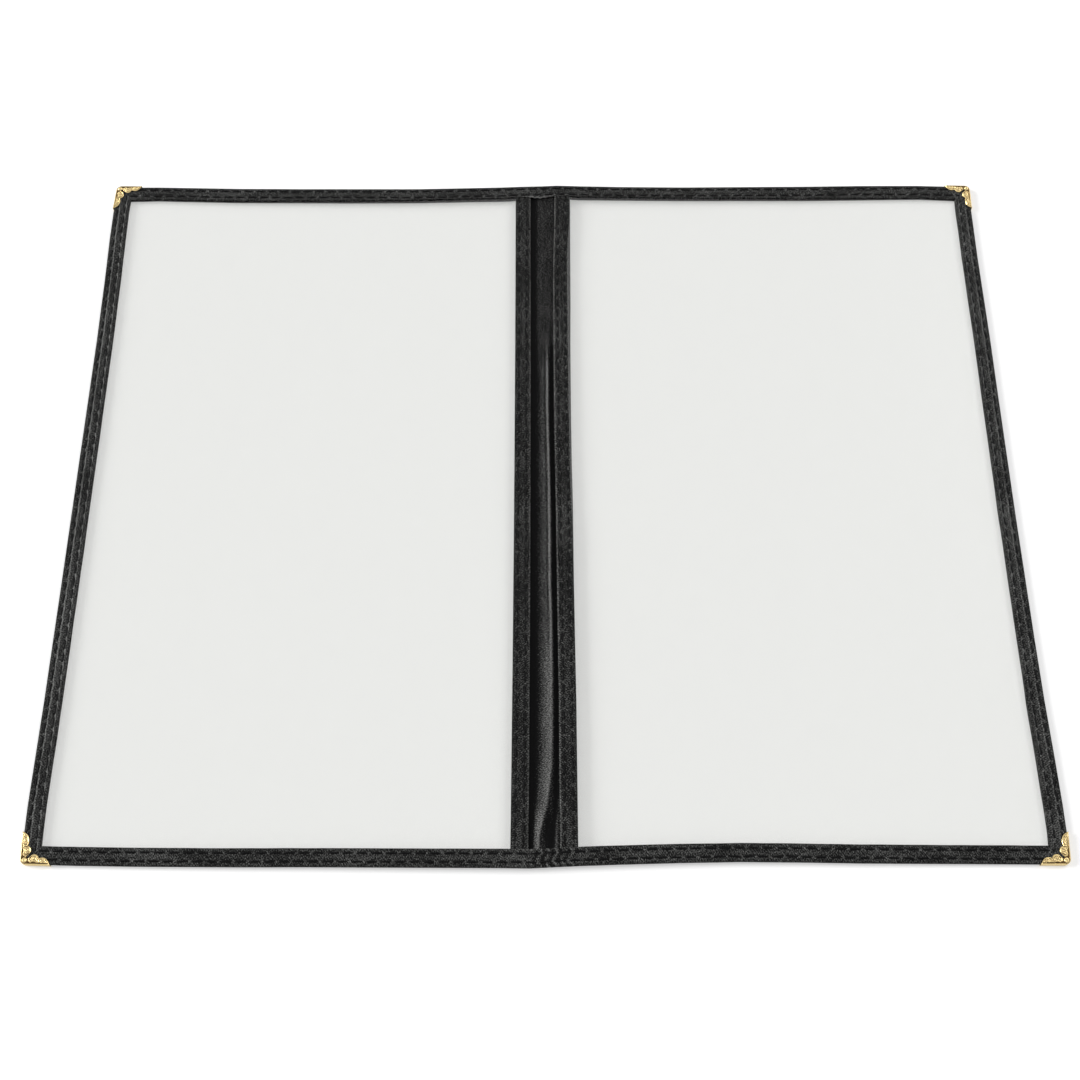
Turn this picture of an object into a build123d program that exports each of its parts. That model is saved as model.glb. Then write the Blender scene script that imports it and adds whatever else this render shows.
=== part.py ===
"""Two-page menu cover, lying open: clear page pockets, sewn bindings, a limp spine and corner guards.

X runs across the open cover, Y up the page and Z up. The origin is the middle of the footprint, on the
surface that the cover lies on. The left page closes over the right one about an axis along Y, which lies
just above the bound pocket mouths. All sizes are in millimetres.
"""

from build123d import *
import os

os.makedirs("parts", exist_ok=True)

# Page that each pocket takes, and its room
page_width = 215.9
page_height = 355.6
page_setback = 6.9
page_end_play = 3.0

# Binding tape, folded over every edge
tape_width = 8.2
tape_thickness = 0.6
fold_radius = 0.45
tape_corner_cut = 0.8

# Clear sheets
sheet_thickness = 0.35

# Spine: a facing inside and a backing outside, sewn over the inner edges of the back sheets
spine_gap = 12.0
spine_width = 28.0
spine_thickness = 0.6
back_sheet_gap = 10.0
tape_rise = 1.6
split_gap = 0.1

# Seams, each of two rows of stitches
row_inset = 2.0
row_spacing = 3.9
stitch_pitch = 6.5
needle_gap = 1.8
thread_width = 0.5
thread_height = 0.25
row_end_margin = 1.5

# Corner guards, folded from thin brass
guard_sheet = 0.4
guard_arm = 14.4
guard_radius = 1.5
guard_lobe_depth = 3.5
guard_lobe_at = 11.2
guard_notch_at = 8.5
guard_notch_depth = 3.1
guard_hump_depth = 4.9
guard_hump_at = 6.4
guard_hump_end = 4.9
guard_slit_width = 1.2
guard_slit_root = 3.2
guard_boss_at = 2.1
guard_boss_radius = 1.2
guard_boss_height = 0.25
guard_seam_clearance = 0.6

# Room between the pages' highest threads when the cover is closed, on each side of the axis
closing_clearance = 0.15

# Outline of the open cover
half_width = spine_gap / 2 + page_setback + page_width + tape_width - row_inset
half_height = page_height / 2 + page_end_play + tape_width - row_inset
sheet_half_height = half_height - tape_thickness
inner_half_height = half_height - tape_width
side_inner_x = half_width - tape_width
pocket_mouth_x = spine_gap / 2
pocket_inner_x = pocket_mouth_x + tape_width
front_sheet_x = pocket_mouth_x + tape_thickness
back_sheet_x = back_sheet_gap / 2
spine_edge_x = spine_width / 2
split_x = split_gap / 2
slope_end_x = half_width - guard_arm - guard_seam_clearance

# Heights along the outer edges
tape_z = guard_sheet
sheet_z = tape_z + tape_thickness
front_sheet_edge_z = sheet_z + sheet_thickness
edge_inside_z = front_sheet_edge_z + sheet_thickness
edge_top_z = edge_inside_z + tape_thickness
guard_top_z = edge_top_z + guard_sheet

# Heights at the spine
back_sheet_spine_z = sheet_z + spine_thickness
facing_z = back_sheet_spine_z + sheet_thickness
facing_top_z = facing_z + spine_thickness
front_sheet_spine_z = facing_top_z + tape_thickness
pocket_inside_z = front_sheet_spine_z + sheet_thickness
pocket_top_z = pocket_inside_z + tape_thickness
hinge_z = pocket_top_z + thread_height + closing_clearance

stitch_length = stitch_pitch - needle_gap


def to_side(side, end="top"):
    """Mirror the piece in hand, made for the right page's top end, to where it belongs."""
    if side == "left":
        mirror(about=Plane.YZ, mode=Mode.REPLACE)
    if end == "bottom":
        mirror(about=Plane.XZ, mode=Mode.REPLACE)


def stitches_in(length):
    """Number of whole stitches that a row of this length holds."""
    return int((length - 2 * row_end_margin + needle_gap) // stitch_pitch)


def tape_path(rise_x, middle_z, pocket_z, edge_z):
    """Points of an end binding's surface, from the fold line across the spine to the outer edge."""
    return [
        (split_x, middle_z),
        (rise_x - tape_rise, middle_z),
        (rise_x, pocket_z),
        (pocket_inner_x, pocket_z),
        (slope_end_x, edge_z),
        (half_width, edge_z),
    ]


# Surfaces that an end binding follows: inside its fold, outside it, and over its threads
inside_path = tape_path(front_sheet_x, facing_top_z, pocket_inside_z, edge_inside_z)
outside_path = tape_path(pocket_mouth_x, facing_top_z + tape_thickness, pocket_top_z, edge_top_z)
thread_path = [(x, z + thread_height) for x, z in outside_path]


def back_sheet(side):
    """Clear outer sheet of a page, sewn between the spine's two layers."""
    bottom = [
        (back_sheet_x, back_sheet_spine_z),
        (spine_edge_x, back_sheet_spine_z),
        (slope_end_x, sheet_z),
        (half_width - tape_thickness, sheet_z),
    ]
    top = [(x, z + sheet_thickness) for x, z in bottom]
    with BuildPart() as sheet:
        with BuildSketch(Plane.XZ):
            Polygon(*bottom, *reversed(top), align=None)
        extrude(amount=sheet_half_height, both=True)
        to_side(side)
    return sheet


def front_sheet(side):
    """Clear inner sheet of a page, which makes the pocket and is open towards the spine."""
    bottom = [
        (front_sheet_x, front_sheet_spine_z),
        (pocket_inner_x, front_sheet_spine_z),
        (slope_end_x, front_sheet_edge_z),
        (half_width - tape_thickness, front_sheet_edge_z),
    ]
    top = [(x, z + sheet_thickness) for x, z in bottom]
    with BuildPart() as sheet:
        with BuildSketch(Plane.XZ):
            Polygon(*bottom, *reversed(top), align=None)
        extrude(amount=sheet_half_height, both=True)
        to_side(side)
    return sheet


def side_binding(side):
    """Tape folded over the outer edge, mitred at both ends."""
    with BuildPart() as binding:
        with BuildSketch(Plane.XY.offset(tape_z)):
            with BuildLine():
                Polyline(
                    (side_inner_x, 0),
                    (side_inner_x, inner_half_height),
                    (half_width - tape_corner_cut / 2, half_height - tape_corner_cut / 2),
                    (half_width, half_height - tape_corner_cut),
                    (half_width, 0),
                )
                mirror(about=Plane.XZ)
            make_face()
        extrude(amount=edge_top_z - tape_z)
        fold_edges = binding.faces().sort_by(Axis.X)[-1].edges().filter_by(Axis.Y)
        fillet(fold_edges, radius=fold_radius)
        with BuildSketch(Plane.XY.offset(sheet_z)):
            with Locations((half_width - tape_thickness, 0)):
                Rectangle(2 * tape_width, 2 * half_height, align=(Align.MAX, Align.CENTER))
        extrude(amount=edge_inside_z - sheet_z, mode=Mode.SUBTRACT)
        to_side(side)
    return binding


def end_binding(side, end):
    """Tape folded over the top or bottom edge, from the spine's fold line to the mitre."""
    tape_foot = [(half_width, tape_z), (split_x, tape_z)]
    sheet_foot = [(half_width, sheet_z), (split_x, sheet_z)]
    with BuildPart() as binding:
        with BuildSketch(Plane.XZ.offset(-half_height)):
            Polygon(*outside_path, *tape_foot, align=None)
        extrude(amount=tape_width)
        outer_face = binding.faces().sort_by(Axis.Y)[-1]
        fillet(outer_face.edges().filter_by(Axis.Z, reverse=True), radius=fold_radius)
        with BuildSketch(Plane.XZ.offset(-sheet_half_height)):
            Polygon(*inside_path, *sheet_foot, align=None)
        extrude(amount=tape_width, mode=Mode.SUBTRACT)
        with BuildSketch(Plane.XY):
            Polygon(
                (side_inner_x - tape_width, inner_half_height - tape_width),
                (half_width - tape_corner_cut / 2, half_height - tape_corner_cut / 2),
                (half_width - tape_corner_cut, half_height),
                (half_width - tape_corner_cut, half_height + tape_width),
                (half_width + tape_width, half_height + tape_width),
                (half_width + tape_width, inner_half_height - tape_width),
                align=None,
            )
        extrude(amount=pocket_top_z, mode=Mode.SUBTRACT)
        to_side(side, end)
    return binding


def pocket_binding(side):
    """Tape folded over the free edge of the inner sheet, at the pocket's mouth."""
    with BuildPart() as binding:
        with BuildSketch(Plane.XY.offset(facing_top_z)):
            with Locations((pocket_mouth_x, 0)):
                Rectangle(tape_width, 2 * inner_half_height, align=(Align.MIN, Align.CENTER))
        extrude(amount=pocket_top_z - facing_top_z)
        fillet(binding.edges().filter_by(Axis.Y).group_by(Axis.X)[0], radius=fold_radius)
        with BuildSketch(Plane.XY.offset(front_sheet_spine_z)):
            with Locations((front_sheet_x, 0)):
                Rectangle(tape_width, 2 * half_height, align=(Align.MIN, Align.CENTER))
        extrude(amount=sheet_thickness, mode=Mode.SUBTRACT)
        to_side(side)
    return binding


def spine_layer(side, base_z):
    """One page's half of a spine strip, tucked into both end bindings."""
    with BuildPart() as layer:
        with BuildSketch(Plane.XY.offset(base_z)):
            with Locations((split_x, 0)):
                Rectangle(
                    spine_edge_x - split_x, 2 * sheet_half_height, align=(Align.MIN, Align.CENTER)
                )
        extrude(amount=spine_thickness)
        to_side(side)
    return layer


def corner_guard(side, end):
    """Folded brass guard: lobed arms over both faces, joined round the outer edges, with a boss."""
    corner = Plane(
        origin=(half_width + guard_sheet, half_height + guard_sheet, 0),
        x_dir=(-1, 0, 0),
        z_dir=(0, 0, 1),
    )
    diagonal = Plane(origin=(0, 0, 0), x_dir=(0, 0, 1), z_dir=(1, -1, 0))
    half_slit = guard_slit_width / 8**0.5
    slit_root = (guard_slit_root + half_slit, guard_slit_root - half_slit)
    slit_mouth = (guard_hump_end, guard_hump_end - 2 * half_slit)
    with BuildPart() as guard:
        with BuildSketch(corner):
            with BuildLine():
                Line((0, 0), (guard_arm, 0))
                ThreePointArc(
                    (guard_arm, 0),
                    (guard_lobe_at, guard_lobe_depth),
                    (guard_notch_at, guard_notch_depth),
                )
                ThreePointArc(
                    (guard_notch_at, guard_notch_depth),
                    (guard_hump_at, guard_hump_depth),
                    slit_mouth,
                )
                Line(slit_mouth, slit_root)
                Line(slit_root, (guard_slit_root, guard_slit_root))
                mirror(about=diagonal)
            make_face()
        extrude(amount=guard_top_z)
        outer_corner = guard.edges().filter_by(Axis.Z).sort_by_distance((half_width, half_height, 0))[0]
        fillet(outer_corner, radius=guard_radius)
        with BuildSketch(corner.offset(guard_sheet)):
            Polygon(
                (guard_sheet, guard_sheet + tape_corner_cut),
                (guard_sheet + tape_corner_cut, guard_sheet),
                (2 * guard_arm, guard_sheet),
                (2 * guard_arm, 2 * guard_arm),
                (guard_sheet, 2 * guard_arm),
                align=None,
            )
        extrude(amount=edge_top_z - tape_z, mode=Mode.SUBTRACT)
        with BuildSketch(corner.offset(guard_top_z)):
            with Locations((guard_boss_at, guard_boss_at)):
                Circle(guard_boss_radius)
        extrude(amount=guard_boss_height)
        to_side(side, end)
    return guard


def side_seam(side):
    """Stitches along the side binding; the outer row stops short of the corner guards."""
    inner_length = 2 * (inner_half_height + row_inset)
    outer_length = 2 * (half_height - guard_arm - guard_seam_clearance)
    with BuildPart() as seam:
        with BuildSketch(Plane.XY.offset(edge_top_z)):
            with Locations((side_inner_x + row_inset, 0)):
                with GridLocations(1, stitch_pitch, 1, stitches_in(inner_length)):
                    Rectangle(thread_width, stitch_length)
            with Locations((side_inner_x + row_inset + row_spacing, 0)):
                with GridLocations(1, stitch_pitch, 1, stitches_in(outer_length)):
                    Rectangle(thread_width, stitch_length)
        extrude(amount=thread_height)
        to_side(side)
    return seam


def end_seam(side, end):
    """Stitches along an end binding, which follow its slope up to the spine."""
    inner_y = inner_half_height + row_inset
    inner_end_x = side_inner_x + row_inset - row_end_margin
    with BuildPart() as seam:
        for row_y, end_x in ((inner_y, inner_end_x), (inner_y + row_spacing, slope_end_x)):
            count = stitches_in(end_x)
            with BuildPart(mode=Mode.PRIVATE) as row:
                with BuildSketch(Plane.XZ.offset(-row_y)):
                    Polygon(*outside_path, *reversed(thread_path), align=None)
                extrude(amount=thread_width / 2, both=True)
                with BuildSketch(Plane.XY):
                    with Locations((end_x - stitch_length / 2, row_y)):
                        with Locations(*[(-i * stitch_pitch, 0) for i in range(count)]):
                            Rectangle(stitch_length, 2 * thread_width)
                extrude(amount=hinge_z, mode=Mode.INTERSECT)
            add(row.part)
        to_side(side, end)
    return seam


def straight_seam(side, base_z):
    """Two rows of stitches beside the spine: on a pocket binding, or under the spine's backing."""
    count = stitches_in(2 * inner_half_height)
    with BuildPart() as seam:
        with BuildSketch(Plane.XY.offset(base_z)):
            with Locations((pocket_inner_x - row_inset - row_spacing / 2, 0)):
                with GridLocations(row_spacing, stitch_pitch, 2, count):
                    Rectangle(thread_width, stitch_length)
        extrude(amount=thread_height)
        to_side(side)
    return seam


def save(piece, name):
    """Label a finished piece and write it."""
    piece.part.label = name
    export_step(piece.part, f"parts/{name}.step")


for side in ("left", "right"):
    save(back_sheet(side), f"{side}_back_sheet")
    save(front_sheet(side), f"{side}_front_sheet")
    save(side_binding(side), f"{side}_side_binding")
    save(pocket_binding(side), f"{side}_pocket_binding")
    save(spine_layer(side, facing_z), f"{side}_spine_facing")
    save(spine_layer(side, sheet_z), f"{side}_spine_backing")
    save(side_seam(side), f"{side}_side_seam")
    save(straight_seam(side, pocket_top_z), f"{side}_pocket_seam")
    save(straight_seam(side, sheet_z - thread_height), f"{side}_spine_seam")
    for end in ("top", "bottom"):
        save(end_binding(side, end), f"{side}_{end}_binding")
        save(corner_guard(side, end), f"{side}_{end}_corner_guard")
        save(end_seam(side, end), f"{side}_{end}_seam")
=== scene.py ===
"""Open menu cover: clear page pockets, sewn leatherette tapes, a limp spine and embossed brass corners.

Sizes inside the making functions are in millimetres. Each finished mesh is scaled to metres once, and takes
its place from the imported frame. "Along" runs down a tape, "across" runs in from its fold.
"""

import math

import bmesh
import bpy
from mathutils import Matrix, Vector, noise


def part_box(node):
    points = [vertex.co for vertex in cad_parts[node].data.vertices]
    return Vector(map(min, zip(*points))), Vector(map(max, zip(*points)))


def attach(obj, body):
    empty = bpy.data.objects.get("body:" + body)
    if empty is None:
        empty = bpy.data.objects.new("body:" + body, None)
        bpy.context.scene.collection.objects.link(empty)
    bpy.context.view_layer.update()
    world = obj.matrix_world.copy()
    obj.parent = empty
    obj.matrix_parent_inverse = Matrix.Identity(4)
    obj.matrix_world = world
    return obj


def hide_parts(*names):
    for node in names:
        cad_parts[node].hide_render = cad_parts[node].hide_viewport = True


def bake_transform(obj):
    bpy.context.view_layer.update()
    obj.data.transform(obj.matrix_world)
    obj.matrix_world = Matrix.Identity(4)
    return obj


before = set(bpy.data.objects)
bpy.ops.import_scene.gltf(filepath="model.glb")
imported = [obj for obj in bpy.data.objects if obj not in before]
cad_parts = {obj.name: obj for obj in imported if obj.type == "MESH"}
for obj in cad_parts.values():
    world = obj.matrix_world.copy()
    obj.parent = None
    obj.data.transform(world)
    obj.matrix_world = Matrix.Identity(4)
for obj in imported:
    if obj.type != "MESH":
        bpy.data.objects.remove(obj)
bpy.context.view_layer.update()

bl_info = {
    "name": "Menu Cover",
    "version": (1, 0, 0),
    "blender": (4, 5, 0),
    "location": "3D View > Sidebar > Menu Cover",
    "description": "Builds a sewn two-page menu cover with clear pockets and brass corners",
    "category": "Add Mesh",
}

MM = 0.001
SIDES = {"left": -1, "right": 1}
ENDS = {"top": 1, "bottom": -1}


def box_mm(node):
    """Lowest and highest corner of a node, in millimetres."""
    low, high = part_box(node)
    return low / MM, high / MM


# Places taken from the frame
side_low, side_high = box_mm("right_side_binding")
end_low, end_high = box_mm("right_top_binding")
pocket_low, pocket_high = box_mm("right_pocket_binding")
front_low, front_high = box_mm("right_front_sheet")
back_low, back_high = box_mm("right_back_sheet")
facing_high = box_mm("right_spine_facing")[1]
backing_low = box_mm("right_spine_backing")[0]
guard_low, guard_high = box_mm("right_top_corner_guard")

half_width = side_high.x
half_height = end_high.y
tape_width = half_width - side_low.x
tape_foot_z = side_low.z
edge_top_z = side_high.z
spine_edge_x = facing_high.x
guard_arm = guard_high.x - guard_low.x

# Where the pages' slope down from the spine ends
slope_end_x = guard_low.x - 0.6

# Top of the end tapes: over the fold line, over the pocket tapes, then down to the outer edges
END_TOP = (
    (0, 3.86), (3.6, 3.9), (7.2, 4.02), (pocket_high.x, 4.06), (slope_end_x, edge_top_z),
    (half_width, edge_top_z),
)


def length(name, description, metres):
    """A length that a maker may change."""
    return bpy.props.FloatProperty(name=name, description=description, default=metres, unit="LENGTH")


def colour(name, description, tint):
    """A colour that a maker may change."""
    return bpy.props.FloatVectorProperty(name=name, description=description, subtype="COLOR", default=tint)


class MENUCOVER_PG_sizes(bpy.types.PropertyGroup):
    """Sizes of the sewing, the sheets and the brass"""

    tape_thickness: length("Tape thickness", "Leatherette of the tapes and spine", 0.0006)
    stitch_pitch: length("Stitch pitch", "From one needle hole pair to the next", 0.0065)
    stitch_length: length("Stitch length", "Thread that shows between two needle holes", 0.0047)
    thread_width: length("Thread width", "Width of the sewing thread", 0.00068)
    row_inset: length("Row inset", "From a tape's cut edge to its first row", 0.002)
    row_spacing: length("Row spacing", "Between a tape's two rows", 0.0039)
    pucker: length("Pucker", "How far the thread pulls the tape in", 0.00017)
    sheet_thickness: length("Sheet thickness", "Clear vinyl of the pockets", 0.00035)
    ripple: length("Ripple", "Waviness of the clear sheets", 0.00022)
    brass_thickness: length("Brass thickness", "Sheet of the corner guards", 0.0003)
    relief: length("Relief", "Height of the stamped scrolls", 0.00025)


class MENUCOVER_PG_colours(bpy.types.PropertyGroup):
    """Colours of the cloth, the sheets, the brass and the floor"""

    tape: colour("Tape", "Leatherette in its hollows", (0.0045, 0.0045, 0.0045))
    tape_crest: colour("Tape crest", "Leatherette on its grain", (0.1, 0.101, 0.098))
    spine: colour("Spine", "Softer leatherette of the spine", (0.0045, 0.0045, 0.0047))
    spine_crest: colour("Spine crest", "Spine leatherette on its grain", (0.088, 0.088, 0.086))
    thread: colour("Thread", "Sewing thread", (0.0018, 0.0018, 0.002))
    vinyl: colour("Vinyl", "Light that each face of a sheet lets through", (0.967, 0.968, 0.964))
    brass: colour("Brass", "Polished brass", (0.655, 0.507, 0.248))
    brass_dark: colour("Brass hollows", "Tarnish left in the relief", (0.085, 0.05, 0.018))
    floor: colour("Floor", "Pale floor", (0.8, 0.8, 0.8))


def sizes():
    """The sizes in use."""
    return bpy.context.scene.menu_cover_sizes


def colours():
    """The colours in use."""
    return bpy.context.scene.menu_cover_colours


def size_mm(name):
    """One of the sizes in use, in millimetres."""
    return getattr(sizes(), name) / MM


# Shapes shared by several pieces


def ease(start, end, value):
    """0 before start, 1 after end, and a smooth rise between."""
    share = min(1.0, max(0.0, (value - start) / (end - start)))
    return share * share * (3 - 2 * share)


def fade(start, end, value):
    """1 before start, 0 after end, and a smooth fall between."""
    return 1 - ease(start, end, value)


def hump(distance, width):
    """1 at no distance, falling away smoothly over about the width."""
    return math.exp(-((distance / width) ** 2))


def line_through(points, value):
    """Height at value on straight lines between (place, height) points."""
    if value <= points[0][0]:
        return points[0][1]
    for (start, low), (end, high) in zip(points, points[1:]):
        if value <= end:
            return low + (high - low) * (value - start) / (end - start)
    return points[-1][1]


def soft_noise(x, y, seed):
    """Even, smooth variation between about -1 and 1."""
    return noise.noise(Vector((x, y, seed)))


# How far the cover's four edges have crept on the table: place along the edge, then shift, in millimetres
TOP_CREEP = (
    (-235, 1.0), (-212, 0.9), (-168, -0.25), (-135, -0.6), (-69, -1.0), (-41, -0.5), (-24, -0.15),
    (-8, 0.45), (6, 1.1), (20, 0.65), (42, 0.3), (75, 0.2), (108, 0.65), (141, 1.05), (174, 1.75),
    (207, 2.0), (235, 1.3),
)
BOTTOM_CREEP = (
    (-235, -0.75), (-210, -1.4), (-182, -1.85), (-137, -2.15), (-110, -2.1), (-56, -2.4), (-20, -2.6),
    (-7, -2.75), (4, -2.2), (16, -1.65), (33, -1.05), (60, -0.3), (87, 0.2), (114, 0.0), (141, -0.4),
    (181, -0.6), (235, -0.85),
)
LEFT_CREEP = (
    (-187, -0.2), (-172, -0.75), (-160, -0.95), (-139, -0.7), (-110, -0.35), (-48, -0.2), (89, -0.1),
    (127, -0.5), (153, -1.05), (173, -1.1), (187, -0.5),
)
RIGHT_CREEP = (
    (-187, 0.1), (-173, 0.8), (-160, 0.8), (-139, 0.35), (-110, -0.5), (-80, -0.9), (-16, -1.3),
    (53, -1.25), (89, -1.1), (140, -1.4), (173, -1.15), (187, -0.8),
)


def settle(x, y):
    """Where a place on the flat cover ends up as the limp cover lies on the table."""
    up = min(1.0, max(0.0, 0.5 + 0.5 * y / half_height))
    aside = min(1.0, max(0.0, (abs(x) - 20) / (half_width - 20)))
    across = line_through(RIGHT_CREEP if x > 0 else LEFT_CREEP, y) * aside
    along = line_through(TOP_CREEP, x) * up + line_through(BOTTOM_CREEP, x) * (1 - up)
    return x + across, y + along


# The same for the right pocket tape, across the spine: place up the page, then shift
RIGHT_POCKET_DRIFT = (
    (-180, 0.5), (-110, 0.35), (-70, -0.05), (-10, -0.6), (50, -1.3), (95, -1.5), (135, -1.5), (165, -0.75),
    (180, -0.6),
)


def pocket_drift(side, y):
    """How far a pocket tape has shifted across the spine at this height up the page."""
    if side > 0:
        return line_through(RIGHT_POCKET_DRIFT, y)
    return -1.15 - 0.45 * (y / 180) ** 2


def grid_mesh(columns, rows, place):
    """A grid whose vertex in each column and row goes where place says, with its place on the flat cloth."""
    bm = bmesh.new()
    bmesh.ops.create_grid(bm, x_segments=columns, y_segments=rows, size=0.5)
    flat = bm.verts.layers.float_vector.new("flat_place")
    for vert in bm.verts:
        column = round((vert.co.x + 0.5) * columns)
        row = round((vert.co.y + 0.5) * rows)
        vert.co, vert[flat] = place(column, row)
    return bm


def finished_mesh(bm, name, material=None):
    """The mesh that a bmesh leaves."""
    mesh = bpy.data.meshes.new(name)
    bm.to_mesh(mesh)
    bm.free()
    if material:
        mesh.materials.append(material)
    return mesh


def add_object(name, data):
    """A new object in the scene."""
    added = bpy.data.objects.new(name, data)
    bpy.context.scene.collection.objects.link(added)
    return added


def add_piece(bm, name, material, thickness=0.0, looks=0):
    """Turns a mesh in millimetres into a finished object, settled on the table, with its faces outward.

    An open mesh says where it looks: 1 if its highest face looks up, -1 if its lowest one looks down.
    """
    for vert in bm.verts:
        vert.co.x, vert.co.y = settle(vert.co.x, vert.co.y)
    bmesh.ops.scale(bm, vec=(MM, MM, MM), verts=bm.verts)
    bmesh.ops.recalc_face_normals(bm, faces=bm.faces)
    if looks:
        outermost = max(bm.faces, key=lambda face: looks * face.calc_center_median().z)
        if looks * outermost.normal.z < 0:
            bmesh.ops.reverse_faces(bm, faces=bm.faces)
    for face in bm.faces:
        face.smooth = True
    piece = add_object(name, finished_mesh(bm, name, material))
    if thickness:
        wall = piece.modifiers.new("Wall", "SOLIDIFY")
        wall.thickness = thickness
        wall.offset = -1
    return piece


# Materials


def new_material(name):
    """An empty node material with its output."""
    material = bpy.data.materials.new(name)
    material.use_nodes = True
    material.node_tree.nodes.clear()
    output = material.node_tree.nodes.new("ShaderNodeOutputMaterial")
    return material, material.node_tree, output


def add_node(tree, kind, settings=None, **sockets):
    """A node with its settings, and its sockets set to values or linked to other sockets."""
    node = tree.nodes.new(f"ShaderNode{kind}")
    for key, value in (settings or {}).items():
        setattr(node, key, value)
    for key, value in sockets.items():
        numbered = key[0] == "n" and key[1:].isdigit()
        socket = node.inputs[int(key[1:]) if numbered else key.replace("_", " ")]
        if isinstance(value, bpy.types.NodeSocket):
            tree.links.new(value, socket)
        else:
            socket.default_value = value
    return node


def maths(tree, operation, first, second):
    """A calculation with two values or sockets."""
    node = add_node(tree, "Math", {"operation": operation}, n0=first, n1=second)
    return node.outputs["Value"]


def weighed_sum(tree, total, *others):
    """A socket and some others, each of those times its weight."""
    for socket, weight in others:
        total = maths(tree, "ADD", total, maths(tree, "MULTIPLY", socket, weight))
    return total


def spots(tree, place, scale, detail=2.0, roughness=0.5):
    """Soft noise over a place, 0 to 1."""
    node = add_node(tree, "TexNoise", Vector=place, Scale=scale, Detail=detail, Roughness=roughness)
    return node.outputs["Fac"]


def ranged(tree, value, low, high, start=0.0, end=1.0):
    """A value that goes from low to high as another goes from start to end."""
    node = add_node(tree, "MapRange", Value=value, From_Min=start, From_Max=end, To_Min=low, To_Max=high)
    return node.outputs["Result"]


def bumped(tree, height, strength, millimetres):
    """The surface's directions over small bumps."""
    node = add_node(tree, "Bump", Height=height, Strength=strength, Distance=millimetres * MM)
    return node.outputs["Normal"]


def colour_between(tree, share, low, high):
    """A colour between two, by a socket's value."""
    ramp = add_node(tree, "ValToRGB", Fac=share)
    ramp.color_ramp.elements[0].color = (*low, 1)
    ramp.color_ramp.elements[1].color = (*high, 1)
    return ramp


def object_place(tree):
    """Place on the object."""
    return add_node(tree, "TexCoord").outputs["Object"]


def flat_place(tree):
    """Place on the flat cloth in millimetres, with its scuffing and its painted light and shade as its third
    number.
    """
    return add_node(tree, "Attribute", {"attribute_name": "flat_place"}).outputs["Vector"]


def stretched_place(tree, turn=0.0, stretch=(1.0, 1.0, 1.0)):
    """Place on the flat cloth, turned and stretched for a pattern."""
    mapping = add_node(tree, "Mapping", Vector=flat_place(tree))
    mapping.inputs["Rotation"].default_value = (0, 0, math.radians(turn))
    mapping.inputs["Scale"].default_value = stretch
    return mapping.outputs["Vector"]


def finish_surface(tree, output, ramp, roughness, normal, **constants):
    """Brings a material's colour, sheen and bumps together."""
    shader = add_node(
        tree, "BsdfPrincipled", Base_Color=ramp.outputs["Color"], Roughness=roughness,
        Normal=normal, **constants,
    )
    tree.links.new(shader.outputs["BSDF"], output.inputs["Surface"])


# Width of one line of the leatherette's grain
GRAIN_PITCH = 0.74


def leatherette(name, hollow, crest, streaked, roughness):
    """Black leatherette: a slanting grain, streaked along the sewing, lighter or darker by painted highlights
    and shade.
    """
    material, tree, output = new_material(name)
    slant = stretched_place(tree, turn=50, stretch=(1.0, 0.6, 0.0))
    twill = add_node(
        tree, "TexWave", {"bands_direction": "X"},
        Vector=slant, Scale=0.314 / GRAIN_PITCH, Distortion=6.0, Detail=2.0, Detail_Scale=1.5,
    )
    specks = spots(tree, slant, 1.55 / GRAIN_PITCH, roughness=0.6)
    streaks = spots(tree, stretched_place(tree, stretch=(0.13, 1.0, 0.0)), 0.75)
    patches = spots(tree, stretched_place(tree, stretch=(1.0, 1.0, 0.0)), 0.08)
    # The mesh's third flat number: scuffing, with painted highlights and painted shade
    scuff_and_painted_light = add_node(tree, "SeparateXYZ", Vector=flat_place(tree)).outputs["Z"]
    lines = maths(tree, "MULTIPLY", twill.outputs["Fac"], 0.22)
    grain = weighed_sum(tree, lines, (specks, 2.5), (streaks, streaked))
    grain_tone_and_painted_light = weighed_sum(tree, grain, (patches, 0.3), (scuff_and_painted_light, 0.45))
    # The ramp's top: pale grain specks and the painted highlights
    crest_and_highlight = [2.4 * part for part in crest]
    ramp = colour_between(tree, ranged(tree, grain_tone_and_painted_light, 0.0, 1.0, 1.62, 2.5), hollow, crest_and_highlight)
    ramp.color_ramp.elements.new(0.58).color = (*crest, 1)
    dull = ranged(tree, grain, roughness + 0.1, roughness - 0.08, 1.3, 2.0)
    finish_surface(tree, output, ramp, dull, bumped(tree, grain, 0.8, 0.2), Specular_IOR_Level=0.03)
    return material


def thread_material(name):
    """Waxed black thread with its twist."""
    material, tree, output = new_material(name)
    twist = add_node(
        tree, "TexWave", {"bands_direction": "DIAGONAL"},
        Vector=stretched_place(tree), Scale=0.55, Distortion=0.4,
    ).outputs["Fac"]
    lint = spots(tree, stretched_place(tree), 3.0)
    tint = colours().thread
    ramp = colour_between(tree, maths(tree, "MULTIPLY", twist, lint), tint, [4 * part for part in tint])
    dull = ranged(tree, lint, 0.3, 0.45)
    finish_surface(tree, output, ramp, dull, bumped(tree, twist, 0.5, 0.06), Specular_IOR_Level=0.08)
    return material


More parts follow.
